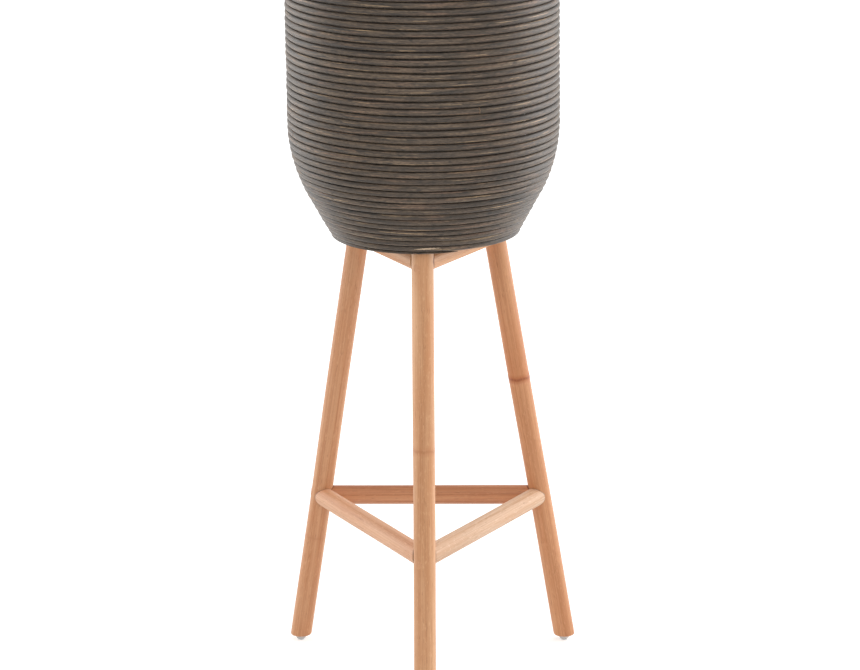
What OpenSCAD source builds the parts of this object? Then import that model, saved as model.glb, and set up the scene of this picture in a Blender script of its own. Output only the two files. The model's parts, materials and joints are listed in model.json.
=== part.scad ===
// Standing rattan planter: a basket wound from thin rattan rods on a tripod of peeled rattan poles.
// Millimetres, +Z up. The origin is on the floor, under the middle of the basket.
// The front leg points along -Y.

/* [Stand] */
// Diameter of the poles for the legs and the upper rails
leg_d = 22; // [20:1:26]
// Radius of the circle where the leg axes meet the floor
foot_circle_r = 164; // [154:1:190]
// Lean of each leg, in degrees from upright
splay = 10.4; // [9:0.2:12]
// Height of the basket's underside
seat_h = 470; // [420:5:500]
// Diameter of the three low stretchers
stretcher_d = 20; // [17:1:21]
// Height of the axes of the three low stretchers
stretcher_h = 168; // [130:2:260]
// Bevel of the edge at each leg's foot
foot_bevel = 1.5; // [0.5:0.5:2.5]

/* [Basket] */
// Height of the basket, from its underside to the rim
basket_h = 275; // [220:5:340]
// Radius of the upright wall, to the middle of its rods
body_r = 133.3; // [120:0.1:150]
// How much narrower the wall is at its underside, in radius
wall_flare = 42.3; // [35:0.1:50]
// Slope of the low wall, in degrees from upright
taper = 28.5; // [22:0.5:36]
// Radius of the bend between the sloping and the upright wall
bend_r = 150; // [60:5:160]
// Diameter of a wall rod
rod_d = 6.4; // [5:0.1:8]
// How much thinner the cane is on every other half turn
cane_step = 0.1; // [0.05:0.05:0.3]
// Gap between neighbouring turns
turn_gap = 0.5; // [0.45:0.05:1]
// Azimuth of the cut end of the lowest rod
start_az = -87; // [-95:1:-80]
// Depth cut level from the underside of the lowest rod's end
start_cut = 3.3; // [2:0.1:3.4]
// Depth cut level from the top of the highest rod's end
end_cut = 4.2; // [3.8:0.1:4.4]
// Diameter of the hoop on the rim
hoop_d = 8; // [6:0.5:12]

/* [Inside the basket] */
// Thickness of the base board
board_t = 8; // [6:1:12]
// Thickness of a stake, the splint that the wall rods are pinned to
stake_t = 4; // [3:0.5:6]
// Width of a stake
stake_w = 12; // [8:1:15]
// Depth from the rim to the tops of the stakes
stake_drop = 16; // [13:1:30]
// Wall thickness of the liner pot
liner_t = 2; // [1.5:0.5:3]
// How much narrower the liner pot's bottom is than the wall's underside, in radius
liner_inset = 11; // [8:0.5:25]
// Room between the liner pot and the stakes at the top
liner_gap = 2; // [1:0.5:6]
// Thickness of the liner pot's lip
lip_t = 2.5; // [2:0.5:4]
// Radius of the liner pot's bottom corner
liner_corner = 6; // [3:1:12]
// Space between the liner pot and the base board
liner_lift = 3; // [1:1:20]

/* [Fixings] */
// Diameter of a wood screw
screw_d = 4; // [3:0.5:4.5]
// Diameter of a screw head
screw_head_d = 7.6; // [6.5:0.1:7.8]
// Length of the screws that hold the poles
screw_len = 45; // [35:1:60]
// Height of a screw above or below the axis of its pole
screw_stagger = 4; // [3:0.5:5]
// Diameter of the wooden plug over a screw head
plug_d = 8; // [7.9:0.1:9]
// Depth of the plug
plug_h = 3.5; // [2:0.5:4]
// Length of the screws that hold the base board
base_screw_len = 22; // [16:1:26]
// Distance of each base screw from the middle of its rail
base_screw_off = 22; // [10:1:26]
// Diameter of a foot glide
glide_d = 9; // [7:0.5:14]
// Height of a foot glide when new
glide_h = 6.5; // [5.5:0.5:8]
// Height of the straight side of a glide, above its dome
glide_edge = 3; // [2.5:0.1:3.5]
// Height that use has worn off the dome of a glide
glide_wear = 0.5; // [0.2:0.1:0.6]
// Diameter of a glide's nail
nail_d = 2; // [1.5:0.1:3]
// Length of a glide's nail
nail_len = 14; // [8:1:25]

/* [Fits] */
// Gap between a coped pole end and the leg or pole that it meets
cope_gap = 0.15; // [0.1:0.05:0.5]
// Gap between pieces that lie against each other round the basket
seat_gap = 0.3; // [0.2:0.05:0.5]
// Gap round a screw, nail or plug in its hole
hole_gap = 0.05; // [0.02:0.01:0.2]
// Gap between the liner pot's lip and the rim hoop
lip_gap = 0.6; // [0.4:0.1:2]
// Gap between the ends of two lengths of wall rod
splice_gap = 0.6; // [0.4:0.1:2]

/* [Hidden] */
$fn = 72;
ROD_FN = 16;
ARC_FN = 48;
ROD_COUNT = 7;
STAKE_COUNT = 9;
BEND_STEPS = 8;
LEG_AZ = [-90, 30, 150];
SECTOR = 120;

ROD_NAMES = [for (i = [1:ROD_COUNT]) str("wall_rod_", i)];
STAKE_NAMES = [for (i = [1:STAKE_COUNT]) str("stake_", i)];

leg_r = leg_d / 2;
rod_r = rod_d / 2;
pole_color = "#D3A47C";
rod_color = "#6B635A";
screw_color = "#8E8E8E";

// Glide and foot: an upright dome whose lowest point is worn flat on the floor
dome_h = glide_h - glide_edge;
dome_r = (pow(glide_d / 2, 2) + dome_h * dome_h) / (2 * dome_h);
glide_top = glide_h - glide_wear;
foot_lift = glide_top + cope_gap;

// Poles between the legs
rail_h = seat_h - seat_gap - leg_r;
function leg_axis_r(z) = foot_circle_r - z * tan(splay);
head_h = (screw_head_d - screw_d) / 2;
head_x = leg_r - plug_h;

// Outline of the wall: a slope, a bend and an upright part, measured along the rods' centres
pitch = rod_d + turn_gap;
base_r = body_r - wall_flare;
start_z = seat_h + rod_r - start_cut;
start_r = base_r + (start_z - seat_h) * tan(taper);
slope_len = (body_r - start_r - bend_r * (1 - cos(taper))) / sin(taper);
bend_len = bend_r * taper * PI / 180;
shoulder_z = start_z + slope_len * cos(taper) + bend_r * sin(taper);
rim_z = seat_h + basket_h;
wall_top = rim_z - hoop_d - seat_gap;
wall_len = slope_len + bend_len + wall_top - rod_r + end_cut - shoulder_z;
function slope_pt(s) = [start_r + s * sin(taper), start_z + s * cos(taper)];
function bend_pt(a) = [body_r - bend_r * (1 - cos(a)), shoulder_z - bend_r * sin(a)];
function wall_pt(s) =
    s < slope_len ? slope_pt(s)
    : s < slope_len + bend_len ? bend_pt(taper - (s - slope_len) / bend_r * 180 / PI)
    : [body_r, shoulder_z + s - slope_len - bend_len];

// The winding climbs clockwise, seen from above, in half turns that meet over the X axis
// It is drawn with its start on the X axis and turned to its azimuth afterwards
turns = wall_len / pitch;
rod_turns = turns / ROD_COUNT;
splice_turns = splice_gap / (2 * PI * body_r);
function half_side(k) = k % 2 == 0 ? 1 : -1;
function half_end_pt(k) =
    let (p = wall_pt(pitch * k / 2))
    [half_side(k) * p[0], 0, p[1]];

// Inside of the wall
face_in = rod_r + seat_gap;
stake_in = face_in + stake_t;
board_top = seat_h + board_t;
stake_top = rim_z - stake_drop;
edge_slope = face_in / cos(taper);
board_r_low = base_r - edge_slope;
board_r_top = board_r_low + board_t * tan(taper);

// Liner pot
liner_z = board_top + liner_lift;
liner_base_r = base_r - liner_inset;
liner_top_r = body_r - stake_in - liner_gap;
lip_r = body_r - hoop_d / 2 - lip_gap;

// Least gap between neighbouring turns, measured on points along the winding
POINTS_PER_TURN = 24;
function winding_pt(t) =
    let (
        k = floor(t * 2),
        p = half_end_pt(k),
        q = half_end_pt(k + 1),
        u = 180 * (t * 2 - k)
    )
    (p + q) / 2 + (p - q) / 2 * cos(u) - [0, half_side(k) * norm(p - q) / 2 * sin(u), 0];
winding_pts = [for (i = [0:floor(turns * POINTS_PER_TURN)]) winding_pt(i / POINTS_PER_TURN)];
turn_dists = [
    for (i = [0:len(winding_pts) - POINTS_PER_TURN - 2])
    for (d = [-1:1])
    norm(winding_pts[i + POINTS_PER_TURN + d] - winding_pts[i])
];
echo(turns = turns, least_gap_between_turns = min(turn_dists) - rod_d);

// Places children under leg k's level end, with +Z up
module at_foot(k) {
    rotate([0, 0, LEG_AZ[k]])
        translate([leg_axis_r(foot_lift), 0, 0])
            children();
}

// A bar along leg k's axis, from below the floor to above the seat
module leg_bar(k, r) {
    rotate([0, 0, LEG_AZ[k]])
        translate([foot_circle_r, 0, 0])
            rotate([0, -splay, 0])
                translate([0, 0, -leg_d])
                    cylinder(r = r, h = seat_h / cos(splay) + 2 * leg_d);
}

// Places children where pole i meets a leg, with +X pointing out through the leg
// side -1 is leg i, side 1 is the next leg
module at_joint(i, side, z) {
    r = leg_axis_r(z);
    rotate([0, 0, LEG_AZ[i] + SECTOR / 2])
        translate([r * cos(SECTOR / 2), side * r * sin(SECTOR / 2), z + side * screw_stagger])
            rotate([0, 0, side * 90])
                children();
}

// A countersunk wood screw along X, its head's flat face at the origin, pointing to -X
module wood_screw(length, gap = 0) {
    tip = screw_d;
    rotate([0, -90, 0]) {
        translate([0, 0, -gap])
            cylinder(d1 = screw_head_d + 2 * gap, d2 = screw_d + 2 * gap, h = head_h);
        translate([0, 0, head_h - gap])
            cylinder(d = screw_d + 2 * gap, h = length - head_h - tip + gap);
        translate([0, 0, length - tip])
            cylinder(d1 = screw_d + 2 * gap, d2 = 1, h = tip);
    }
}

module joint_screw() {
    translate([head_x, 0, 0]) wood_screw(screw_len);
}

module joint_hole() {
    translate([head_x, 0, 0]) wood_screw(screw_len, hole_gap);
    translate([head_x - hole_gap, 0, 0])
        rotate([0, 90, 0])
            cylinder(d = plug_d + 2 * hole_gap, h = leg_d);
}

module all_joints(z) {
    for (i = [0:2])
        for (side = [-1, 1])
            at_joint(i, side, z) children();
}

// A leg is cut level at both ends by a wide upright cone, which also bevels its foot
module leg(k) {
    length = seat_h - foot_lift;
    color(pole_color)
        difference() {
            intersection() {
                leg_bar(k, leg_r);
                at_foot(k)
                    translate([0, 0, foot_lift])
                        cylinder(r1 = leg_r - foot_bevel, r2 = leg_r - foot_bevel + length, h = length);
            }
            at_foot(k)
                translate([0, 0, foot_lift - 1])
                    cylinder(d = nail_d + 2 * hole_gap, h = nail_len + 2);
            for (z = [stretcher_h, rail_h]) {
                at_joint(k, -1, z) joint_hole();
                at_joint((k + 2) % 3, 1, z) joint_hole();
            }
        }
}

// A pole from leg i to the next leg: its ends are coped to the legs and mitred to its neighbours
module cross_pole(i, z, d) {
    r = leg_axis_r(z);
    reach = 2 * r;
    color(pole_color)
        difference() {
            rotate([0, 0, LEG_AZ[i] + SECTOR / 2])
                intersection() {
                    translate([r * cos(SECTOR / 2), 0, z])
                        rotate([90, 0, 0])
                            cylinder(d = d, h = reach * sin(SECTOR / 2), center = true);
                    translate([cope_gap / sin(SECTOR / 2), 0, z - d])
                        linear_extrude(2 * d)
                            polygon([
                                [0, 0],
                                reach * [cos(SECTOR / 2), -sin(SECTOR / 2)],
                                reach * [1, 0],
                                reach * [cos(SECTOR / 2), sin(SECTOR / 2)]
                            ]);
                }
            leg_bar(i, leg_r + cope_gap);
            leg_bar((i + 1) % 3, leg_r + cope_gap);
            at_joint(i, -1, z) joint_hole();
            at_joint(i, 1, z) joint_hole();
        }
}

module stretcher(i) {
    cross_pole(i, stretcher_h, stretcher_d);
}

module rail(i) {
    difference() {
        cross_pole(i, rail_h, leg_d);
        base_screw_places(i) wood_screw(base_screw_len, hole_gap);
    }
}

module glide(k) {
    color("#B9B7B0")
        at_foot(k) {
            intersection() {
                translate([0, 0, dome_r - glide_wear]) sphere(r = dome_r);
                cylinder(d = glide_d, h = glide_top);
            }
            translate([0, 0, glide_top - glide_edge])
                cylinder(d = nail_d, h = glide_edge + nail_len - nail_d);
            translate([0, 0, glide_top + nail_len - nail_d])
                cylinder(d1 = nail_d, d2 = 0.4, h = nail_d);
        }
}

module stretcher_screws() {
    color(screw_color) all_joints(stretcher_h) joint_screw();
}

module rail_screws() {
    color(screw_color) all_joints(rail_h) joint_screw();
}

// Wooden plugs over the screw heads, trimmed flush with the leg
module joint_plugs() {
    color(pole_color)
        for (z = [stretcher_h, rail_h])
            for (i = [0:2])
                for (side = [-1, 1])
                    intersection() {
                        at_joint(i, side, z)
                            translate([head_x + hole_gap, 0, 0])
                                rotate([0, 90, 0])
                                    cylinder(d = plug_d, h = leg_d);
                        leg_bar(side < 0 ? i : (i + 1) % 3, leg_r);
                    }
}

// Places children at the two base screws of rail i, with +X pointing up
module base_screw_places(i) {
    for (side = [-1, 1])
        rotate([0, 0, LEG_AZ[i] + SECTOR / 2])
            translate([leg_axis_r(rail_h) * cos(SECTOR / 2), side * base_screw_off, board_top])
                rotate([0, -90, 0])
                    children();
}

// The board's edge is bevelled to the slope of the wall
module base_board() {
    color("#7A6A58")
        difference() {
            translate([0, 0, seat_h]) cylinder(r1 = board_r_low, r2 = board_r_top, h = board_t);
            for (i = [0:2]) base_screw_places(i) wood_screw(base_screw_len, hole_gap);
        }
}

module base_screws() {
    color(screw_color) for (i = [0:2]) base_screw_places(i) wood_screw(base_screw_len);
}

// Points of the bend at distance off inside the rods' centres, from the slope to the upright
function bend_face(off) = [
    for (i = [BEND_STEPS:-1:0])
        let (a = taper * i / BEND_STEPS)
        [body_r - bend_r + (bend_r - off) * cos(a), shoulder_z - (bend_r - off) * sin(a)]
];

// A side of a stake, from the board to its top
function stake_face(off) =
    let (
        bend = bend_face(off),
        foot_r = bend[0][0] - (bend[0][1] - board_top) * tan(taper)
    )
    concat([[foot_r, board_top]], bend, [[body_r - off, stake_top]]);

// A flat splint that stands on the board and follows the inside of the wall
module stake(i) {
    color("#8A7A66")
        rotate([0, 0, start_az + (i - 0.5) * 360 / STAKE_COUNT])
            rotate([90, 0, 0])
                translate([0, 0, -stake_w / 2])
                    linear_extrude(stake_w)
                        polygon(concat(stake_face(face_in), reversed(stake_face(stake_in))));
}

// Half turn k of the winding, clockwise from share u0 to share u1 of its arc
// A shortened arc still starts or ends on the X axis, where it meets its neighbour
module half_turn(k, u0, u1) {
    p = half_end_pt(k);
    q = half_end_pt(k + 1);
    tilt = atan2(q[2] - p[2], abs(p[0] - q[0])) * half_side(k);
    first_az = k % 2 == 0 ? 0 : 180;
    translate((p + q) / 2)
        rotate([0, tilt, 0])
            rotate([0, 0, u0 > 0 ? first_az - 180 : first_az])
                rotate_extrude(angle = u0 > 0 ? 180 * (1 - u0) : -180 * u1, $fn = ARC_FN)
                    translate([norm(p - q) / 2, 0])
                        rotate([0, 0, 90])
                            circle(d = k % 2 == 0 ? rod_d : rod_d - cane_step, $fn = ROD_FN);
}

// The winding from turn t0 to turn t1, in one unbroken length
// The first half turn of all is trimmed level with the seat before it joins the next
module winding(t0, t1) {
    union()
        for (k = [floor(t0 * 2):ceil(t1 * 2) - 1])
            if (k == 0)
                difference() {
                    half_turn(k, 0, 1);
                    level_slab(seat_h - rod_d);
                }
            else
                half_turn(k, max(0, t0 * 2 - k), min(1, t1 * 2 - k));
}

// A slab one rod thick, wider than the basket
module level_slab(z) {
    wide = 2 * body_r + 4 * rod_d;
    translate([-wide / 2, -wide / 2, z]) cube([wide, wide, rod_d]);
}

// Wall rod i; the highest is trimmed level under the rim hoop
module wall_rod(i) {
    t0 = (i - 1) * rod_turns;
    t1 = i * rod_turns - (i < ROD_COUNT ? splice_turns : 0);
    color(rod_color)
        rotate([0, 0, start_az])
            if (i == ROD_COUNT)
                difference() {
                    winding(t0, t1);
                    level_slab(wall_top);
                }
            else
                winding(t0, t1);
}

module rim_hoop() {
    color(rod_color)
        translate([0, 0, rim_z - hoop_d / 2])
            rotate_extrude($fn = ARC_FN)
                translate([body_r, 0])
                    circle(d = hoop_d, $fn = 24);
}

// A tapered pot whose lip hangs on the tops of the stakes
module liner_pot() {
    color("#34332F")
        rotate_extrude($fn = ARC_FN)
            polygon(concat(
                [[0, liner_z]],
                corner_pts(liner_base_r, liner_z, liner_corner),
                [[liner_top_r, stake_top], [lip_r, stake_top], [lip_r, stake_top + lip_t]],
                [[liner_top_r - liner_t, stake_top + lip_t]],
                reversed(corner_pts(liner_base_r - liner_t, liner_z + liner_t, liner_corner - liner_t)),
                [[0, liner_z + liner_t]]
            ));
}

// Points round the bottom corner of the pot
function corner_pts(r, z, c) = [for (a = [-90:15:0]) [r - c + c * cos(a), z + c + c * sin(a)]];
function reversed(list) = [for (i = [len(list) - 1:-1:0]) list[i]];

leg(0);  // leg_front
leg(1);  // leg_right
leg(2);  // leg_left
stretcher(0);  // stretcher_right
stretcher(1);  // stretcher_back
stretcher(2);  // stretcher_left
rail(0);  // rail_right
rail(1);  // rail_back
rail(2);  // rail_left
glide(0);  // glide_front
glide(1);  // glide_right
glide(2);  // glide_left
stretcher_screws();
rail_screws();
joint_plugs();
base_board();
base_screws();
for (i = [1:STAKE_COUNT]) stake(i);
for (i = [1:ROD_COUNT]) wall_rod(i);
rim_hoop();
liner_pot();
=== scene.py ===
# Standing rattan planter: the finish of every piece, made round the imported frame, in metres
import json
import math

import bpy
from mathutils import Matrix, Vector, noise


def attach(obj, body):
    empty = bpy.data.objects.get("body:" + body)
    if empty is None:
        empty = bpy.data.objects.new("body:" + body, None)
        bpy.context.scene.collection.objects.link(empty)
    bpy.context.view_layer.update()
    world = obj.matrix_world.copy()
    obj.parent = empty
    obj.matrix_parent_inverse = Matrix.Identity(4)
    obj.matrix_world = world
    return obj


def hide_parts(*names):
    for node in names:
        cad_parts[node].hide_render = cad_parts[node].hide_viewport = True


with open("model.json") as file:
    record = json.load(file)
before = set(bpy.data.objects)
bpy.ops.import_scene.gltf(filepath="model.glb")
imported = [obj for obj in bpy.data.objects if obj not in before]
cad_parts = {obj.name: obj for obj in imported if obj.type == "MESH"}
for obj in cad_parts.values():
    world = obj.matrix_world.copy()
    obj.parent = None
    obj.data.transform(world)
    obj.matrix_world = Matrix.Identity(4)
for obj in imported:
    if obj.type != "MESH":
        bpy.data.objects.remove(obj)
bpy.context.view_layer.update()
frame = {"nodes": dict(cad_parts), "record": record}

MM = 0.001

# Gaps between pieces that lie against each other round the basket, and at the coped ends of poles
SEAT_GAP = 0.3 * MM
COPE_GAP = 0.15 * MM

# The foot glides: DOME is the outline between the worn flat and the widest circle
GLIDE_R = 5.4 * MM
GLIDE_FLAT_R = 2.1 * MM
GLIDE_TOP = 6 * MM
GLIDE_ROUNDING = 0.8 * MM
DOME = [(3.2 * MM, 0.5 * MM), (4.4 * MM, 1.5 * MM), (GLIDE_R, 3.2 * MM)]
NAIL_R = 1 * MM
NAIL_LEN = 14 * MM

# The stand: the legs' axes meet the floor on FOOT_CIRCLE_R, and SEAT_Z is the basket's underside
LEG_R = 11 * MM
STRETCHER_R = 10 * MM
FOOT_CIRCLE_R = 164 * MM
SPLAY = math.radians(10.4)
SEAT_Z = 470 * MM
LEG_TOP_Z = SEAT_Z - 0.02 * MM
FOOT_Z = GLIDE_TOP + COPE_GAP
FOOT_BEVEL = 1.5 * MM
STRETCHER_Z = 168 * MM
RAIL_Z = SEAT_Z - SEAT_GAP - LEG_R
LEG_AZ = {"front": -90, "right": 30, "left": 150}
POLE_ENDS = {"right": ("front", "right"), "back": ("right", "left"), "left": ("left", "front")}

# A pole's thickness wanders by a share of it, and swells at a node round a fine groove; POLE_BOW is its bow
POLE_UNEVEN = 0.012
POLE_BOW = 0.7 * MM
NODE_SWELL = 0.022
NODE_SWELL_LEN = 4 * MM
NODE_GROOVE = 0.008
NODE_GROOVE_LEN = 0.8 * MM

# The legs' nodes: distance along the leg, strength of the ring and redness of the cane above it
LEG_NODES = {
    "front": [(0.283, 0.32, 0.05)],
    "right": [(0.311, 1.0, 0.5)],
    "left": [(0.129, 0.15, 0.0)],
}

# The poles' colours, from 0 to 255, and the contrast of their streaks where it isn't 1
LEG_TONES = {"front": (211, 157, 113), "right": (205, 144, 99), "left": (205, 148, 105)}
STRETCHER_TONES = {"right": (213, 175, 142), "back": (198, 135, 93), "left": (214, 162, 124)}
RAIL_TONE = (214, 159, 115)
STREAK_DEPTH = {"back": 1.9}

# The basket: its rods wind up a slope, a bend and an upright wall, whose radii are to the rods' centres;
# START_CUT and END_CUT are what is cut off the lowest rod's underside and the highest rod's top, and
# TAIL_SHARE is how much of what END_CUT leaves has gone under the hoop where the rod ends
ROD_R = 3.2 * MM
ROD_SQUARENESS = 2.35
ROD_TALLNESS = 1.02
ROD_COUNT = 7
PITCH = 2 * ROD_R + 0.5 * MM
START_AZ = -87
START_CUT = 3.3 * MM
END_CUT = 4.2 * MM
SPLICE_GAP = 0.6 * MM
BODY_R = 133.3 * MM
BASE_R = BODY_R - 42.3 * MM
TAPER = math.radians(28.5)
BEND_R = 150 * MM
RIM_Z = SEAT_Z + 275 * MM
HOOP_R = 4 * MM
WALL_TOP = RIM_Z - 2 * HOOP_R - SEAT_GAP
TAIL_SHARE = 0.9

# The hand's small errors: how far neighbouring turns go in and out together, how far each does so alone,
# how far it climbs or sinks, and the shares by which a rod's thickness wanders slowly and quickly; last, the
# hoop's
SHARED_ERROR = 0.5 * MM
OWN_ERROR = 0.6 * MM
CLIMB_ERROR = 0.25 * MM
ROD_SLOW_UNEVEN = 0.045
ROD_QUICK_UNEVEN = 0.03
HOOP_ERROR = 0.4 * MM
HOOP_UNEVEN = 0.03

# The lowest rod's slanted start, and the pale streak shaved into the turn over it, in an area of finer faces
SCARF_TURNS = 0.055
SCARF_TIP_SHARE = 0.3
SCARF_TIP_Z = SEAT_Z + 0.2 * MM
SHAVED_X = 6 * MM
SHAVED_Z = SEAT_Z + 6.1 * MM
SHAVED_HALF_LEN = 14 * MM
SHAVED_HALF_HEIGHT = 0.65 * MM
SHAVED_RISE = 0.04
SHAVED_CUTS = 5
FINE_X = (-16 * MM, 30 * MM)
FINE_OVER_SEAT = (1 * MM, 9 * MM)

# The liner pot: its lip hangs on the stakes, clear of the board, and its floor has a shallow step inside
BOARD_T = 8 * MM
STAKE_T = 4 * MM
STAKE_TOP_Z = RIM_Z - 16 * MM
LINER_T = 2 * MM
LINER_CORNER = 6 * MM
LINER_Z = SEAT_Z + BOARD_T + 3 * MM
LINER_BASE_R = BASE_R - 11 * MM
LINER_TOP_R = BODY_R - ROD_R - SEAT_GAP - STAKE_T - 2 * MM
LIP_R = BODY_R - HOOP_R - 0.6 * MM
LIP_T = 2.5 * MM
LIP_ROUNDING = 0.9 * MM
FLOOR_STEP_R = 42 * MM
FLOOR_STEP_SLOPE = 1 * MM
FLOOR_STEP_DEPTH = 0.7 * MM

# How finely the pieces are drawn
RINGS_PER_TURN = 150
ROD_POINTS = 14
HOOP_RINGS = 180
HOOP_POINTS = 18
POLE_POINTS = 48
LEG_RING_STEP = 8 * MM
CROSS_RING_STEP = 6 * MM
NODE_RINGS = [off * MM for off in (-9, -5, -3, -1.6, -0.7, 0, 0.7, 1.6, 3, 5, 9)]
LINER_STEPS = 96
GLIDE_STEPS = 40
BEVEL_STEPS = 4
MERGE_GAP = 0.01 * MM
ON_PLANE = 0.001 * MM

# A face looks down, or to the front, where that part of its normal lies below these
LOOKS_DOWN = -0.95
LOOKS_FORWARD = -0.2

# What makes each pole's grain its own: the first seed and the step to the next; and where on the stain's
# pattern the rods and the hoop start, in metres
SEEDS = {"leg": (1.7, 13.1), "stretcher": (61.3, 9.7), "rail": (101.9, 7.3)}
PLUG_SEED = 211.3
ROD_STAIN_STEP = 6.3
HOOP_STAIN_START = 50

# Levels of light, where 1 is white: the world's, the floor's own glow at two distances from the middle, and
# each soft lamp's, after its name, place, target and width
WORLD_LEVEL = 0.6
FLOOR_SIZE = 12
GLOW_SPAN = 5
FLOOR_GLOW = [(0.4, 0.36), (2, 0.8)]
LAMPS = [
    ("front_lamp", (0.2, -2.7, 2.9), (0, 0, 0.4), 2.2, 1.35),
    ("top_lamp", (0.0, -0.5, 3.2), (0, 0, 0.4), 2.0, 0.9),
    ("right_lamp", (1.9, 0.7, 0.95), (0, 0, 0.45), 1.7, 3.6),
    ("left_lamp", (-1.9, 0.8, 0.95), (0, 0, 0.45), 1.6, 2.5),
]


def srgb(r, g, b):
    """A colour given as 0 to 255, as a linear colour with alpha"""
    parts = [c / 255 for c in (r, g, b)]
    return [c / 12.92 if c <= 0.04045 else ((c + 0.055) / 1.055) ** 2.4 for c in parts] + [1.0]


def select_only(piece):
    bpy.ops.object.select_all(action="DESELECT")
    piece.select_set(True)
    bpy.context.view_layer.objects.active = piece


def edit_all(piece):
    """Enters edit mode on the piece with everything selected"""
    select_only(piece)
    bpy.ops.object.mode_set(mode="EDIT")
    bpy.ops.mesh.select_all(action="SELECT")


def deselect_mesh(piece):
    """Deselects all of the piece's mesh, so that a part of it can be selected by place"""
    edit_all(piece)
    bpy.ops.mesh.select_all(action="DESELECT")
    leave_edit()


def leave_edit():
    bpy.ops.object.mode_set(mode="OBJECT")


def drift(along, track, layer=0):
    """A smooth change between about -1 and 1, about once a unit, along one of many tracks"""
    return noise.noise(Vector((along, track, layer)))


def pole_seed(kind, k):
    first, step = SEEDS[kind]
    return first + step * k


def spoke(azimuth_deg, radius, height):
    """The place at an azimuth in degrees, a radius and a height"""
    a = math.radians(azimuth_deg)
    return Vector((radius * math.cos(a), radius * math.sin(a), height))


def leg_axis_r(height):
    return FOOT_CIRCLE_R - height * math.tan(SPLAY)


def leg_axis(side):
    """(point on the floor, upward direction) of a leg's axis"""
    foot = spoke(LEG_AZ[side], FOOT_CIRCLE_R, 0)
    top = spoke(LEG_AZ[side], leg_axis_r(SEAT_Z), SEAT_Z)
    return foot, (top - foot).normalized()


def pole_turn(axis):
    """The rotation that brings the upright axis to a pole's"""
    return axis.to_track_quat("Z", "Y").to_euler()


# Materials


def add_node(tree, kind, inputs=None, **settings):
    """Adds a shader node; an input that is a socket is linked, and any other is set"""
    node = tree.nodes.new(kind)
    for name, value in settings.items():
        setattr(node, name, value)
    for name, value in (inputs or {}).items():
        if isinstance(value, bpy.types.NodeSocket):
            tree.links.new(value, node.inputs[name])
        else:
            node.inputs[name].default_value = value
    return node


def math_node(tree, operation, a, b=0.0):
    return add_node(tree, "ShaderNodeMath", {0: a, 1: b}, operation=operation).outputs[0]


def mixed(tree, share, a, b, blend_type="MIX"):
    """A mix of two colours"""
    node = add_node(tree, "ShaderNodeMix", data_type="RGBA", blend_type=blend_type)
    for socket, value in ((node.inputs[0], share), (node.inputs[6], a), (node.inputs[7], b)):
        if isinstance(value, bpy.types.NodeSocket):
            tree.links.new(value, socket)
        else:
            socket.default_value = value
    return node.outputs[2]


def ramp(tree, value, *stops):
    """A colour or grey ramp through (place, colour) stops"""
    node = add_node(tree, "ShaderNodeValToRGB", {"Fac": value})
    stops = [(place, c if isinstance(c, list) else [c, c, c, 1.0]) for place, c in stops]
    elements = node.color_ramp.elements
    for element, (place, colour) in zip(elements, (stops[0], stops[-1])):
        element.position = place
        element.color = colour
    for place, colour in stops[1:-1]:
        elements.new(place).color = colour
    return node.outputs["Color"]


def distance_ramp(tree, distance, span, *stops):
    """A ramp over the first span of a distance, whose stops are distances too"""
    share = math_node(tree, "DIVIDE", distance, span)
    return ramp(tree, share, *((place / span, colour) for place, colour in stops))


def noise_value(tree, vector, stretch, detail, rough, seed=0.0):
    """Noise with its own number of features per metre along each axis"""
    inputs = {"Vector": vector, "Scale": stretch, "Location": (seed, seed, seed)}
    place = add_node(tree, "ShaderNodeMapping", inputs).outputs[0]
    inputs = {"Vector": place, "Scale": 1.0, "Detail": detail, "Roughness": rough}
    return add_node(tree, "ShaderNodeTexNoise", inputs).outputs[0]


def object_place(tree):
    """The place of a shaded point on its own piece, in metres"""
    return add_node(tree, "ShaderNodeTexCoord").outputs["Object"]


def pole_place(tree, place, start, axis):
    """A place as seen from a pole's start, with the third axis along the pole"""
    inputs = {"Vector": place, "Location": start, "Rotation": pole_turn(axis)}
    return add_node(tree, "ShaderNodeMapping", inputs, vector_type="TEXTURE").outputs[0]


def leg_distance(tree, place, side):
    """The distance of a place from a leg's axis"""
    own = pole_place(tree, place, *leg_axis(side))
    flat = add_node(tree, "ShaderNodeVectorMath", {0: own, 1: (1, 1, 0)}, operation="MULTIPLY").outputs[0]
    return add_node(tree, "ShaderNodeVectorMath", {0: flat}, operation="LENGTH").outputs["Value"]


def finish_named(name, roughness, specular=0.4):
    """A new material with its shader, and the tree that it is built in"""
    material = bpy.data.materials.new(name)
    material.use_nodes = True
    tree = material.node_tree
    shader = tree.nodes["Principled BSDF"]
    shader.inputs["Roughness"].default_value = roughness
    shader.inputs["Specular IOR Level"].default_value = specular
    return material, tree, shader


def bump(tree, shader, height, distance, strength=1.0):
    inputs = {"Height": height, "Distance": distance, "Strength": strength}
    node = add_node(tree, "ShaderNodeBump", inputs)
    tree.links.new(node.outputs[0], shader.inputs["Normal"])


# Finishes; a finish's patterns are laid one over another, and each is named for what it draws


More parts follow.
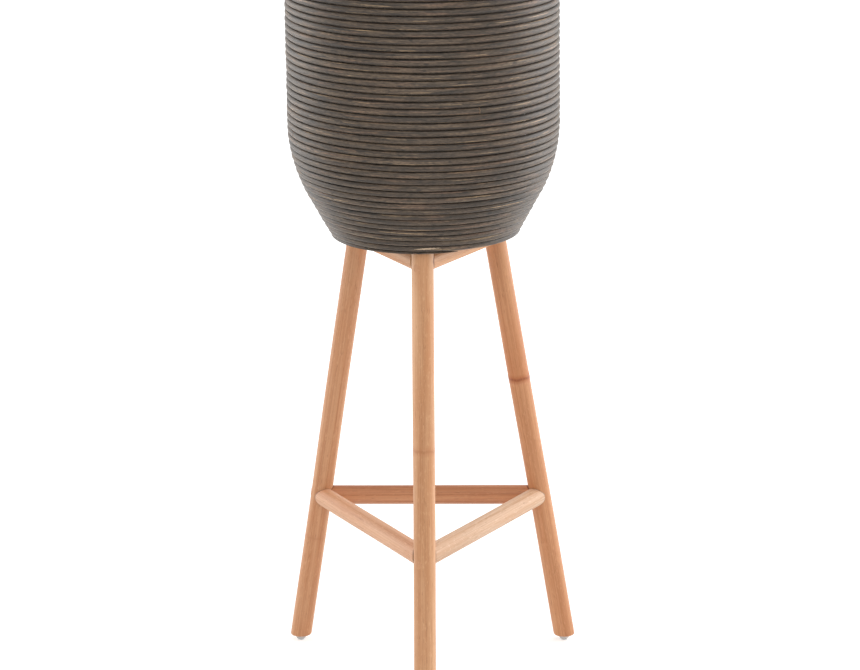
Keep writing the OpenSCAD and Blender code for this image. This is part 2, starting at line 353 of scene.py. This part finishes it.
def stained_cane(name, round_it=0.0):
    """Thin cane stained grey-brown: fibres run along it, on the piece's own UV map in metres

    With the length round the cane given, shade is painted into its colour where it lies against its
    neighbours, in the grooves between the rods."""
    material, tree, shader = finish_named(name, 0.46, 0.45)
    shader.inputs["Sheen Weight"].default_value = 0.24
    shader.inputs["Sheen Roughness"].default_value = 0.3
    shader.inputs["Sheen Tint"].default_value = (1.0, 0.96, 0.92, 1.0)
    uv = add_node(tree, "ShaderNodeTexCoord").outputs["UV"]
    fibre = noise_value(tree, uv, (42, 760, 1), 5, 0.65)
    band = noise_value(tree, uv, (17, 330, 1), 4, 0.6, 3.7)
    length = noise_value(tree, uv, (4, 30, 1), 2, 0.5, 13.3)
    fine = ramp(tree, fibre, (0.38, srgb(28, 21, 15)), (0.5, srgb(72, 60, 48)), (0.64, srgb(130, 110, 89)))
    wide = ramp(tree, band, (0.36, srgb(32, 25, 18)), (0.51, srgb(76, 63, 51)), (0.66, srgb(136, 115, 93)))
    colour = mixed(tree, 0.5, fine, wide)
    whole = ramp(tree, length, (0.38, srgb(54, 45, 36)), (0.62, srgb(98, 83, 67)))
    colour = mixed(tree, 0.3, colour, whole)
    stain = noise_value(tree, uv, (14, 190, 1), 4, 0.6, 17.3)
    colour = mixed(tree, ramp(tree, stain, (0.54, 0.0), (0.66, 0.55)), colour, srgb(45, 42, 40))
    blush = noise_value(tree, uv, (18, 380, 1), 3, 0.55, 9.1)
    colour = mixed(tree, ramp(tree, blush, (0.55, 0.0), (0.68, 0.5)), colour, srgb(138, 108, 86))
    pale = noise_value(tree, uv, (15, 620, 1), 2, 0.5, 31.9)
    colour = mixed(tree, ramp(tree, pale, (0.64, 0.0), (0.73, 0.8)), colour, srgb(184, 155, 120))
    nick = noise_value(tree, uv, (85, 420, 1), 2, 0.5, 47.7)
    colour = mixed(tree, ramp(tree, nick, (0.64, 0.0), (0.7, 0.8)), colour, srgb(30, 25, 20))
    speck = noise_value(tree, uv, (230, 1300, 1), 3, 0.65, 61.3)
    shading = ramp(tree, speck, (0.36, 0.15), (0.5, 0.46), (0.64, 0.8))
    colour = mixed(tree, 0.7, colour, shading, "OVERLAY")
    # Painted shade: the rod's colour darkens towards its sides, in the grooves where it lies against its
    # neighbours
    if round_it:
        height = add_node(tree, "ShaderNodeSeparateXYZ", {0: uv}).outputs[1]
        off = math_node(tree, "ABSOLUTE", math_node(tree, "SUBTRACT", height, round_it / 2))
        painted_groove_shade = distance_ramp(tree, off, round_it, (0.15 * round_it, 0.0), (0.23 * round_it, 0.6))
        colour = mixed(tree, painted_groove_shade, colour, srgb(24, 19, 15))
    tree.links.new(colour, shader.inputs["Base Color"])
    bump(tree, shader, mixed(tree, 0.4, fibre, band), 0.35 * MM, 0.9)
    return material


def cut_cane(name, pith, pores):
    """The cut end of a cane: pale pith with dark pores"""
    material, tree, shader = finish_named(name, 0.8, 0.2)
    inputs = {"Vector": object_place(tree), "Scale": 1900.0}
    cells = add_node(tree, "ShaderNodeTexVoronoi", inputs).outputs["Distance"]
    tree.links.new(ramp(tree, cells, (0.12, pores), (0.4, pith)), shader.inputs["Base Color"])
    bump(tree, shader, cells, 0.1 * MM)
    return material


def shade(tone, r, g, b):
    """A colour given as 0 to 255, scaled channel by channel, as a linear colour"""
    return srgb(*(min(255, c * k) for c, k in zip(tone, (r, g, b))))


def peeled_cane(name, start, axis, nodes, tone, seed, depth=1.0, joints=()):
    """Thick peeled cane: streaks run along the pole, and a fine dark ring crosses it at each node

    nodes is a list as in LEG_NODES, depth is the contrast of the streaks, and joints holds the legs that the
    pole is coped to, with a thin dark band of painted shade round each, in the crevice at the joint."""
    material, tree, shader = finish_named(name, 0.55)
    place = object_place(tree)
    own = pole_place(tree, place, start, axis)
    plain, dark = shade(tone, 1, 1, 1), shade(tone, *(1 - depth * d for d in (0.1, 0.16, 0.21)))
    pale, red = shade(tone, 1.07, 1.13, 1.2), shade(tone, 0.94, 0.83, 0.72)
    streak = noise_value(tree, own, (260, 260, 4), 3, 0.55, seed + 5)
    fine = noise_value(tree, own, (950, 950, 10), 4, 0.6, seed)
    streaks = ramp(tree, streak, (0.38, dark), (0.5, plain), (0.62, pale))
    threads = ramp(tree, fine, (0.38, dark), (0.5, plain), (0.64, pale))
    colour = mixed(tree, 0.5, streaks, threads)
    broad = noise_value(tree, own, (75, 75, 3), 2, 0.5, seed + 11)
    colour = mixed(tree, 0.3, colour, ramp(tree, broad, (0.4, dark), (0.6, pale)))
    blush = noise_value(tree, own, (45, 45, 8), 3, 0.6, seed + 23)
    colour = mixed(tree, ramp(tree, blush, (0.48, 0.0), (0.7, 0.4)), colour, red)
    fleck = noise_value(tree, own, (900, 900, 110), 3, 0.55, seed + 41)
    dull, bright = shade(tone, 0.78, 0.69, 0.62), shade(tone, 1.08, 1.15, 1.22)
    colour = mixed(tree, ramp(tree, fleck, (0.6, 0.0), (0.72, 0.55)), colour, dull)
    chalk = noise_value(tree, own, (700, 700, 160), 3, 0.6, seed + 77)
    colour = mixed(tree, ramp(tree, chalk, (0.56, 0.0), (0.7, 0.5)), colour, bright)
    along = add_node(tree, "ShaderNodeSeparateXYZ", {0: own}).outputs[2]
    wander = noise_value(tree, own, (120, 120, 30), 2, 0.5, seed + 57)
    for distance, strength, redness in nodes:
        waved = math_node(tree, "MULTIPLY", math_node(tree, "SUBTRACT", wander, 0.5), 5 * MM)
        offset = math_node(tree, "ADD", math_node(tree, "SUBTRACT", along, distance), waved)
        redder = distance_ramp(tree, offset, 100 * MM, (0.0, 0.0), (2 * MM, redness), (100 * MM, 0.0))
        colour = mixed(tree, redder, colour, red)
        near = math_node(tree, "ABSOLUTE", offset)
        halo = distance_ramp(tree, near, 10 * MM, (1 * MM, 0.75 * strength), (5.5 * MM, 0.0))
        colour = mixed(tree, halo, colour, shade(tone, 0.84, 0.66, 0.5))
        thread = distance_ramp(tree, near, 4 * MM, (0.4 * MM, 0.7 * strength), (1.8 * MM, 0.0))
        broken = math_node(tree, "MULTIPLY", thread, ramp(tree, fine, (0.4, 0.35), (0.55, 1.0)))
        colour = mixed(tree, broken, colour, shade(tone, 0.7, 0.5, 0.38))
    # Painted shade: a thin dark band on the pole just outside each leg it is coped to, in the joint's
    # crevice
    for side in joints:
        over = math_node(tree, "SUBTRACT", leg_distance(tree, place, side), LEG_R)
        painted_crevice_shade = distance_ramp(tree, over, 2 * MM, (0.2 * MM, 0.8), (1.4 * MM, 0.0))
        colour = mixed(tree, painted_crevice_shade, colour, shade(tone, 0.5, 0.38, 0.3))
    tree.links.new(colour, shader.inputs["Base Color"])
    shader.inputs["Coat Weight"].default_value = 0.15
    shader.inputs["Coat Roughness"].default_value = 0.4
    bump(tree, shader, mixed(tree, 0.5, fine, streak), 0.12 * MM, 0.6)
    return material


def moulded_plastic(name, colour, roughness, grain):
    material, tree, shader = finish_named(name, roughness)
    place = object_place(tree)
    cloud = noise_value(tree, place, (40, 40, 40), 3, 0.5)
    pits = noise_value(tree, place, (grain, grain, grain), 2, 0.5)
    darker = [0.82 * c for c in colour[:3]] + [1.0]
    tree.links.new(ramp(tree, cloud, (0.35, darker), (0.65, colour)), shader.inputs["Base Color"])
    bump(tree, shader, pits, 0.05 * MM)
    return material


def split_cane():
    """Flat stakes of split cane, whose fibres run upwards"""
    material, tree, shader = finish_named("split_cane", 0.7, 0.3)
    fibre = noise_value(tree, object_place(tree), (900, 900, 18), 4, 0.6)
    dark, plain, pale = srgb(92, 78, 62), srgb(136, 118, 96), srgb(176, 156, 130)
    colour = ramp(tree, fibre, (0.3, dark), (0.55, plain), (0.75, pale))
    tree.links.new(colour, shader.inputs["Base Color"])
    bump(tree, shader, fibre, 0.2 * MM, 0.7)
    return material


def stained_plywood():
    material, tree, shader = finish_named("stained_plywood", 0.65, 0.3)
    place = object_place(tree)
    grain = noise_value(tree, place, (400, 12, 900), 4, 0.6)
    inputs = {"Vector": place, "Scale": 220.0}
    bands = add_node(tree, "ShaderNodeTexWave", inputs, bands_direction="Z").outputs[0]
    wood = ramp(tree, grain, (0.3, srgb(84, 68, 52)), (0.7, srgb(128, 106, 82)))
    plies = ramp(tree, bands, (0.2, srgb(70, 56, 42)), (0.8, srgb(140, 118, 92)))
    tree.links.new(mixed(tree, 0.3, wood, plies), shader.inputs["Base Color"])
    bump(tree, shader, grain, 0.15 * MM)
    return material


def zinc_steel():
    material, tree, shader = finish_named("zinc_steel", 0.35)
    worn = noise_value(tree, object_place(tree), (300, 300, 300), 3, 0.6)
    colour = ramp(tree, worn, (0.3, srgb(140, 140, 138)), (0.7, srgb(186, 186, 182)))
    tree.links.new(colour, shader.inputs["Base Color"])
    shader.inputs["Metallic"].default_value = 1.0
    return material


def paint(piece, *materials):
    """Gives the piece its materials; each of its faces keeps its own choice of them"""
    choices = [min(face.material_index, len(materials) - 1) for face in piece.data.polygons]
    piece.data.materials.clear()
    for material in materials:
        piece.data.materials.append(material)
    for face, choice in zip(piece.data.polygons, choices):
        face.material_index = choice


# Canes


def section_curve(name, radius, points, squareness=2.0, tallness=1.0):
    """The outline of a cane; its seam faces inwards, and squareness over 2 makes its sides flatter"""
    curve = bpy.data.curves.new(name, "CURVE")
    curve.dimensions = "2D"
    spline = curve.splines.new("POLY")
    spline.points.add(points - 1)
    spline.use_cyclic_u = True
    for i, point in enumerate(spline.points):
        angle = 2 * math.pi * i / points
        c, s = math.cos(angle), math.sin(angle)
        grow = (abs(c) ** squareness + abs(s) ** squareness) ** (-1 / squareness)
        point.co = (radius * c * grow, radius * s * grow * tallness, 0, 1)
    section = bpy.data.objects.new(name, curve)
    bpy.context.collection.objects.link(section)
    return section


def cane(name, path, shares, section, length, start_u=0.0, closed=False):
    """A cane along a path of points, whose thickness is a share of the section's at each point

    Its UV map runs along the cane and round it, in metres. Its end faces take the second material."""
    curve = bpy.data.curves.new(name, "CURVE")
    curve.dimensions = "3D"
    curve.twist_mode = "Z_UP"
    curve.bevel_mode = "OBJECT"
    curve.bevel_object = section
    curve.use_fill_caps = not closed
    spline = curve.splines.new("POLY")
    spline.points.add(len(path) - 1)
    spline.use_cyclic_u = closed
    for point, place, share in zip(spline.points, path, shares):
        point.co = (*place, 1)
        point.radius = share
    piece = bpy.data.objects.new(name, curve)
    bpy.context.collection.objects.link(piece)
    select_only(piece)
    bpy.ops.object.convert(target="MESH")
    piece = bpy.context.object
    round_it = 2 * math.pi * max(p.co.x for p in section.data.splines[0].points)
    for loop in piece.data.uv_layers[0].data:
        loop.uv = (start_u + loop.uv[0] * length, loop.uv[1] * round_it)
    for face in piece.data.polygons:
        face.material_index = 1 if len(face.vertices) == 3 else 0
    edit_all(piece)
    bpy.ops.mesh.remove_doubles(threshold=MERGE_GAP)
    bpy.ops.mesh.normals_make_consistent(inside=False)
    leave_edit()
    return piece


def cut_level(piece, height, keep_above):
    """Cuts a piece with a level plane and closes the cut"""
    edit_all(piece)
    bpy.ops.mesh.bisect(
        plane_co=(0, 0, height), plane_no=(0, 0, 1), use_fill=True,
        clear_inner=keep_above, clear_outer=not keep_above, threshold=ON_PLANE,
    )
    leave_edit()


def smooth(piece, degrees=35):
    select_only(piece)
    bpy.ops.object.shade_smooth_by_angle(angle=math.radians(degrees))


def settle(piece, body, slot_name, *nodes):
    """Places the finished piece on its body, in place of its CAD nodes"""
    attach(piece, body)
    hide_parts(*nodes)


# The basket's wall: the lengths of its outline, then the turns of a rod, of the gap between two rods' ends
# and of the highest rod's end, which tapers away under the hoop

SLOPE_START_Z = SEAT_Z + ROD_R - START_CUT
SLOPE_START_R = BASE_R + (SLOPE_START_Z - SEAT_Z) * math.tan(TAPER)
SLOPE_LEN = (BODY_R - SLOPE_START_R - BEND_R * (1 - math.cos(TAPER))) / math.sin(TAPER)
BEND_LEN = BEND_R * TAPER
SHOULDER_Z = SLOPE_START_Z + SLOPE_LEN * math.cos(TAPER) + BEND_R * math.sin(TAPER)
WALL_LEN = SLOPE_LEN + BEND_LEN + WALL_TOP - ROD_R + END_CUT - SHOULDER_Z
ROD_TURNS = WALL_LEN / PITCH / ROD_COUNT
SPLICE_TURNS = SPLICE_GAP / (2 * math.pi * BODY_R)
TAIL_TURNS = TAIL_SHARE * (2 * ROD_R - END_CUT) / PITCH


def wall_point(along):
    """(radius, height) of the rods' centres at a distance along the wall's outline"""
    if along < SLOPE_LEN:
        return SLOPE_START_R + along * math.sin(TAPER), SLOPE_START_Z + along * math.cos(TAPER)
    if along < SLOPE_LEN + BEND_LEN:
        angle = TAPER - (along - SLOPE_LEN) / BEND_R
        return BODY_R - BEND_R * (1 - math.cos(angle)), SHOULDER_Z - BEND_R * math.sin(angle)
    return BODY_R, SHOULDER_Z + along - SLOPE_LEN - BEND_LEN


def winding_point(turn):
    """A point of the winding, which climbs clockwise, seen from above, with the hand's small errors"""
    radius, height = wall_point(PITCH * turn)
    azimuth = START_AZ - 360 * turn
    shared = noise.noise(16 * spoke(azimuth, radius, height))
    radius += SHARED_ERROR * shared + OWN_ERROR * drift(9 * turn, 3.1)
    return spoke(azimuth, radius, height + CLIMB_ERROR * drift(7 * turn, 8.3))


def scarfed_start(turns, path, shares):
    """Thins the lowest rod's start to a slanted end, whose flat lies on the basket's underside"""
    for k, turn in enumerate(turns):
        if turn < 0:
            share = 1 + turn / SCARF_TURNS
            top = SCARF_TIP_Z + (path[k].z + ROD_R - SEAT_Z) * share
            shares[k] = SCARF_TIP_SHARE + (1 - SCARF_TIP_SHARE) * share
            path[k].z = top - ROD_R * shares[k]


def shave(piece):
    """Bares a thin streak of pale cane along the side of the turn that lies over the scarf"""
    deselect_mesh(piece)
    for corner in piece.data.vertices:
        inside = FINE_X[0] < corner.co.x < FINE_X[1]
        inside = inside and FINE_OVER_SEAT[0] < corner.co.z - SEAT_Z < FINE_OVER_SEAT[1]
        corner.select = inside and corner.co.y < 0
    bpy.ops.object.mode_set(mode="EDIT")
    bpy.ops.mesh.subdivide(number_cuts=SHAVED_CUTS)
    leave_edit()
    for face in piece.data.polygons:
        off = face.center.x - SHAVED_X
        along = off / SHAVED_HALF_LEN
        if face.normal.y < LOOKS_FORWARD and abs(along) < 1:
            ragged = 1 + 0.7 * drift(0.4 * face.center.x / MM, 2.5)
            half_height = SHAVED_HALF_HEIGHT * (1 - along * along) * ragged
            if abs(face.center.z - SHAVED_Z - SHAVED_RISE * off) < half_height:
                face.material_index = 1


def wall_rod(i, section, materials):
    """One length of the winding, which takes its own stretch of the stain's pattern"""
    lowest, highest = i == 0, i == ROD_COUNT - 1
    first = -SCARF_TURNS if lowest else i * ROD_TURNS
    last = (i + 1) * ROD_TURNS + (TAIL_TURNS if highest else -SPLICE_TURNS)
    count = math.ceil((last - first) * RINGS_PER_TURN)
    turns = [first + (last - first) * k / count for k in range(count + 1)]
    path = [winding_point(t) for t in turns]
    slow = [ROD_SLOW_UNEVEN * drift(7 * t, 21.7) for t in turns]
    quick = [ROD_QUICK_UNEVEN * drift(37 * t, 5.9) for t in turns]
    shares = [1 + a + b for a, b in zip(slow, quick)]
    if lowest:
        scarfed_start(turns, path, shares)
    length = sum((b - a).length for a, b in zip(path, path[1:]))
    piece = cane(f"rattan_wall_rod_{i + 1}", path, shares, section, length, ROD_STAIN_STEP * i)
    if lowest:
        cut_level(piece, SEAT_Z, True)
        shave(piece)
    if highest:
        cut_level(piece, WALL_TOP, False)
    smooth(piece, 50)
    paint(piece, *materials)
    settle(piece, "stand", "wall_rod", f"wall_rod_{i + 1}")


def rim_hoop(section, materials):
    """The hoop is one thicker cane"""
    path = []
    shares = []
    for k in range(HOOP_RINGS):
        around = spoke(360 * k / HOOP_RINGS, 1, 0)
        radius = BODY_R + HOOP_ERROR * noise.noise(2.2 * around)
        path.append(around * radius + Vector((0, 0, RIM_Z - HOOP_R)))
        shares.append(1 + HOOP_UNEVEN * noise.noise(3 * around + Vector((0, 0, 5))))
    length = 2 * math.pi * BODY_R
    piece = cane("rattan_rim_hoop", path, shares, section, length, HOOP_STAIN_START, closed=True)
    smooth(piece, 60)
    paint(piece, *materials)
    settle(piece, "stand", "wall_rod", "rim_hoop")


# Turned pieces: the liner pot and the foot glides


def arc_points(r, z, radius, first, last, steps=6):
    """Points of an arc in the plane of radius and height, between two angles in degrees"""
    angles = [math.radians(first + (last - first) * k / steps) for k in range(steps + 1)]
    return [(r + radius * math.cos(a), z + radius * math.sin(a)) for a in angles]


def turned(name, profile, steps):
    """A piece turned round the upright axis, from its outline of (radius, height) points"""
    outline = bpy.data.meshes.new(name)
    points = [(r, 0, z) for r, z in profile]
    outline.from_pydata(points, [(k, k + 1) for k in range(len(points) - 1)], [])
    piece = bpy.data.objects.new(name, outline)
    bpy.context.collection.objects.link(piece)
    edit_all(piece)
    bpy.ops.mesh.spin(steps=steps, angle=2 * math.pi, center=(0, 0, 0), axis=(0, 0, 1))
    bpy.ops.mesh.select_all(action="SELECT")
    bpy.ops.mesh.remove_doubles(threshold=MERGE_GAP)
    bpy.ops.mesh.normals_make_consistent(inside=False)
    leave_edit()
    return piece


def liner_pot(finish):
    """A moulded pot with a rounded lip"""
    soft = LIP_ROUNDING
    lip_top = STAKE_TOP_Z + LIP_T
    inside_z = LINER_Z + LINER_T
    inner_corner = LINER_CORNER - LINER_T
    profile = [(0, LINER_Z)]
    profile += arc_points(LINER_BASE_R - LINER_CORNER, LINER_Z + LINER_CORNER, LINER_CORNER, -90, 0)
    profile += [(LINER_TOP_R, STAKE_TOP_Z)]
    profile += arc_points(LIP_R - soft, STAKE_TOP_Z + soft, soft, -90, 0, 4)
    profile += arc_points(LIP_R - soft, lip_top - soft, soft, 0, 90, 4)
    profile += arc_points(LINER_TOP_R - LINER_T + 2 * soft, lip_top - 2 * soft, 2 * soft, 90, 180, 5)
    profile += arc_points(LINER_BASE_R - LINER_CORNER, inside_z + inner_corner, inner_corner, 0, -90)
    profile += [(FLOOR_STEP_R, inside_z), (FLOOR_STEP_R - FLOOR_STEP_SLOPE, inside_z - FLOOR_STEP_DEPTH)]
    profile += [(0, inside_z - FLOOR_STEP_DEPTH)]
    piece = turned("moulded_liner_pot", profile, LINER_STEPS)
    smooth(piece)
    paint(piece, finish)
    settle(piece, "liner", "liner", "liner_pot")


def glides(nylon, steel):
    """A moulded glide with its nail under each leg: a worn flat, a low dome and a rounded upper edge"""
    soft = GLIDE_ROUNDING
    edge = arc_points(GLIDE_R - soft, GLIDE_TOP - soft, soft, 0, 90, 4)
    nail_top = GLIDE_TOP + NAIL_LEN
    nail = [(NAIL_R, GLIDE_TOP), (NAIL_R, nail_top - 2 * NAIL_R), (0, nail_top)]
    for side, azimuth in LEG_AZ.items():
        piece = turned(f"nailed_glide_{side}", [(0, 0), (GLIDE_FLAT_R, 0)] + DOME + edge + nail, GLIDE_STEPS)
        edit_all(piece)
        bpy.ops.transform.translate(value=spoke(azimuth, leg_axis_r(FOOT_Z), 0))
        leave_edit()
        for face in piece.data.polygons:
            face.material_index = 1 if face.center.z > GLIDE_TOP + MERGE_GAP else 0
        smooth(piece)
        paint(piece, nylon, steel)
        settle(piece, "stand", "glide", f"glide_{side}")


# The stand


def pole_blank(name, start, axis, length, ring_step, nodes, section, seed):
    """A nearly straight pole that bows a little between its ends and swells at its nodes"""
    count = round(length / ring_step)
    stations = {round(length * k / count, 6) for k in range(count + 1)}
    for place, _, _ in nodes:
        stations |= {round(place + off, 6) for off in NODE_RINGS}
    stations = sorted(s for s in stations if 0 <= s <= length)
    side = axis.orthogonal().normalized()
    other = axis.cross(side)
    path = []
    shares = []
    for d in stations:
        bow = POLE_BOW * math.sin(math.pi * min(d / length, 1))
        bowed = side * bow * drift(4 * d, seed, 1) + other * bow * drift(4 * d, seed, 7)
        path.append(start + axis * d + bowed)
        share = 1 + POLE_UNEVEN * drift(9 * d, seed)
        for place, strength, _ in nodes:
            swell = NODE_SWELL * math.exp(-(((d - place) / NODE_SWELL_LEN) ** 2))
            groove = NODE_GROOVE * math.exp(-(((d - place) / NODE_GROOVE_LEN) ** 2))
            share += strength * (swell - groove)
        shares.append(share)
    return cane(name, path, shares, section, length)


def leg(side, section, cut_end, seed):
    """A leaning pole, cut level at both ends, with a bevel round its foot"""
    floor_point, axis = leg_axis(side)
    start = floor_point + axis * (FOOT_Z / axis.z - LEG_R)
    length = (SEAT_Z - FOOT_Z) / axis.z + 2 * LEG_R
    nodes = LEG_NODES[side]
    piece = pole_blank(f"peeled_leg_{side}", start, axis, length, LEG_RING_STEP, nodes, section, seed)
    cut_level(piece, LEG_TOP_Z, False)
    cut_level(piece, FOOT_Z, True)
    deselect_mesh(piece)
    corners = piece.data.vertices
    for edge in piece.data.edges:
        edge.select = all(abs(corners[v].co.z - FOOT_Z) < MERGE_GAP for v in edge.vertices)
    bpy.ops.object.mode_set(mode="EDIT")
    bpy.ops.mesh.bevel(offset=FOOT_BEVEL, segments=BEVEL_STEPS, affect="EDGES")
    leave_edit()
    for face in piece.data.polygons:
        if face.normal.z < LOOKS_DOWN:
            face.material_index = 1
    smooth(piece)
    finish = peeled_cane(f"peeled_cane_leg_{side}", start, axis, nodes, LEG_TONES[side], seed)
    paint(piece, finish, cut_end)
    settle(piece, "stand", "peeled_pole", f"leg_{side}")


def cope(piece, side):
    """Hollows the end of a pole to fit round a leg"""
    foot, axis = leg_axis(side)
    bpy.ops.mesh.primitive_cylinder_add(
        vertices=2 * POLE_POINTS, radius=LEG_R + COPE_GAP, depth=2 * SEAT_Z,
        location=foot + axis * (SEAT_Z / 2), rotation=pole_turn(axis),
    )
    cutter = bpy.context.object
    select_only(piece)
    modifier = piece.modifiers.new("cope", "BOOLEAN")
    modifier.operation = "DIFFERENCE"
    modifier.solver = "EXACT"
    modifier.object = cutter
    bpy.ops.object.modifier_apply(modifier=modifier.name)
    bpy.data.objects.remove(cutter)


def mitre(piece, side, inside):
    """Cuts the end of a pole along the upright plane through a leg, on the side of the point inside"""
    a = math.radians(LEG_AZ[side])
    normal = Vector((-math.sin(a), math.cos(a), 0))
    if normal.dot(inside) < 0:
        normal = -normal
    edit_all(piece)
    bpy.ops.mesh.bisect(plane_co=normal * COPE_GAP, plane_no=normal, use_fill=True, clear_inner=True)
    leave_edit()


def cross_pole(kind, name, height, section, tone, cut_end, seed):
    """A pole between two legs, coped to them and mitred to its neighbours"""
    near, far = POLE_ENDS[name]
    start = spoke(LEG_AZ[near], leg_axis_r(height), height)
    end = spoke(LEG_AZ[far], leg_axis_r(height), height)
    length = (end - start).length
    axis = (end - start).normalized()
    piece = pole_blank(f"peeled_{kind}_{name}", start, axis, length, CROSS_RING_STEP, [], section, seed)
    for side in (near, far):
        mitre(piece, side, (start + end) / 2)
    for side in (near, far):
        cope(piece, side)
    smooth(piece)
    depth = STREAK_DEPTH.get(name, 1.0)
    finish = peeled_cane(f"peeled_cane_{kind}_{name}", start, axis, [], tone, seed, depth, (near, far))
    paint(piece, finish, cut_end)
    settle(piece, "stand", "peeled_pole", f"{kind}_{name}")


# Camera, light and floor


def photo_camera():
    """The camera that the photograph was taken with, fitted to the planter's edges"""
    distance, height = 3.1696, 1.2492
    pitch, pan, roll = math.radians(15.65), math.radians(0.07), math.radians(-0.68)
    turn = math.radians(1.98)
    focal_px, width_px = 3232.6, 860
    right = Vector((math.cos(pan), -math.sin(pan), 0))
    up = Vector((math.sin(pan) * math.sin(pitch), math.cos(pan) * math.sin(pitch), math.cos(pitch)))
    across = right * math.cos(roll) + up * math.sin(roll)
    upward = up * math.cos(roll) - right * math.sin(roll)
    back = across.cross(upward)
    data = bpy.data.cameras.new("photo_camera")
    data.sensor_fit = "HORIZONTAL"
    data.sensor_width = 36
    data.lens = focal_px / width_px * data.sensor_width
    data.clip_end = 50
    camera = bpy.data.objects.new("photo_camera", data)
    bpy.context.collection.objects.link(camera)
    axes = Matrix((across, upward, back)).transposed().to_4x4()
    place = Matrix.Rotation(turn, 4, "Z") @ Matrix.Translation((0, -distance, height))
    camera.matrix_world = place @ axes
    bpy.context.scene.camera = camera


def soft_lamp(name, place, target, size, level):
    """A square lamp turned to its target, whose face is as bright as the level says"""
    data = bpy.data.lights.new(name, "AREA")
    data.energy = level * math.pi * size * size
    data.size = size
    lamp = bpy.data.objects.new(name, data)
    bpy.context.collection.objects.link(lamp)
    place = Vector(place)
    lamp.location = place
    lamp.rotation_euler = (Vector(target) - place).to_track_quat("-Z", "Y").to_euler()


def seen_rays(tree):
    """1 where the camera sees a place directly, through a clear piece or in a reflection"""
    rays = add_node(tree, "ShaderNodeLightPath").outputs
    seen = math_node(tree, "MAXIMUM", rays["Is Camera Ray"], rays["Is Transmission Ray"])
    return math_node(tree, "MAXIMUM", seen, rays["Is Glossy Ray"])


def studio():
    """A white sweep lit softly from all round, most strongly from both sides"""
    scene = bpy.context.scene
    scene.view_settings.view_transform = "Standard"
    world = bpy.data.worlds.new("studio")
    scene.world = world
    world.use_nodes = True
    tree = world.node_tree
    background = tree.nodes["Background"]
    strength = math_node(tree, "MULTIPLY_ADD", seen_rays(tree), 1 - WORLD_LEVEL)
    strength.node.inputs[2].default_value = WORLD_LEVEL
    tree.links.new(strength, background.inputs["Strength"])
    background.inputs["Color"].default_value = (1, 1, 1, 1)
    bpy.ops.mesh.primitive_plane_add(size=FLOOR_SIZE)
    floor = bpy.context.object
    floor.name = "studio_floor"
    material, tree, shader = finish_named("white_floor", 0.9, 0.0)
    shader.inputs["Base Color"].default_value = (0.9, 0.9, 0.9, 1)
    place = object_place(tree)
    away = add_node(tree, "ShaderNodeVectorMath", {0: place}, operation="LENGTH").outputs["Value"]
    glow = math_node(tree, "MULTIPLY", seen_rays(tree), distance_ramp(tree, away, GLOW_SPAN, *FLOOR_GLOW))
    shader.inputs["Emission Color"].default_value = (1, 1, 1, 1)
    tree.links.new(glow, shader.inputs["Emission Strength"])
    paint(floor, material)
    for lamp in LAMPS:
        soft_lamp(*lamp)


def main():
    photo_camera()
    studio()
    rod_finish = stained_cane("stained_cane", 2 * math.pi * ROD_R)
    rod_end = cut_cane("cane_end", srgb(214, 188, 160), srgb(168, 140, 112))
    pole_end = cut_cane("pole_end", srgb(222, 186, 148), srgb(150, 110, 76))
    rod_section = section_curve("rod_section", ROD_R, ROD_POINTS, ROD_SQUARENESS, ROD_TALLNESS)
    hoop_section = section_curve("hoop_section", HOOP_R, HOOP_POINTS)
    leg_section = section_curve("leg_section", LEG_R, POLE_POINTS)
    stretcher_section = section_curve("stretcher_section", STRETCHER_R, POLE_POINTS)
    for i in range(ROD_COUNT):
        wall_rod(i, rod_section, (rod_finish, rod_end))
    rim_hoop(hoop_section, (stained_cane("stained_hoop_cane"), rod_end))
    for k, side in enumerate(LEG_AZ):
        leg(side, leg_section, pole_end, pole_seed("leg", k))
    for k, name in enumerate(POLE_ENDS):
        tone = STRETCHER_TONES[name]
        seed = pole_seed("stretcher", k)
        cross_pole("stretcher", name, STRETCHER_Z, stretcher_section, tone, pole_end, seed)
        cross_pole("rail", name, RAIL_Z, leg_section, RAIL_TONE, pole_end, pole_seed("rail", k))
    for section in (rod_section, hoop_section, leg_section, stretcher_section):
        bpy.data.objects.remove(section)
    steel = zinc_steel()
    glides(moulded_plastic("grey_nylon", srgb(226, 224, 222), 0.4, 900), steel)
    liner_pot(moulded_plastic("black_plastic", srgb(40, 40, 38), 0.45, 700))
    finishes = {
        "screw": steel,
        "board": stained_plywood(),
        "stake": split_cane(),
        "plug": peeled_cane("plug_cane", Vector(), Vector((0, 0, 1)), [], LEG_TONES["left"], PLUG_SEED),
    }
    for part in frame["record"]["subparts"]:
        node = frame["nodes"][part["node"]]
        if part["material_slot"] in finishes and not node.hide_render:
            paint(node, finishes[part["material_slot"]])


main()
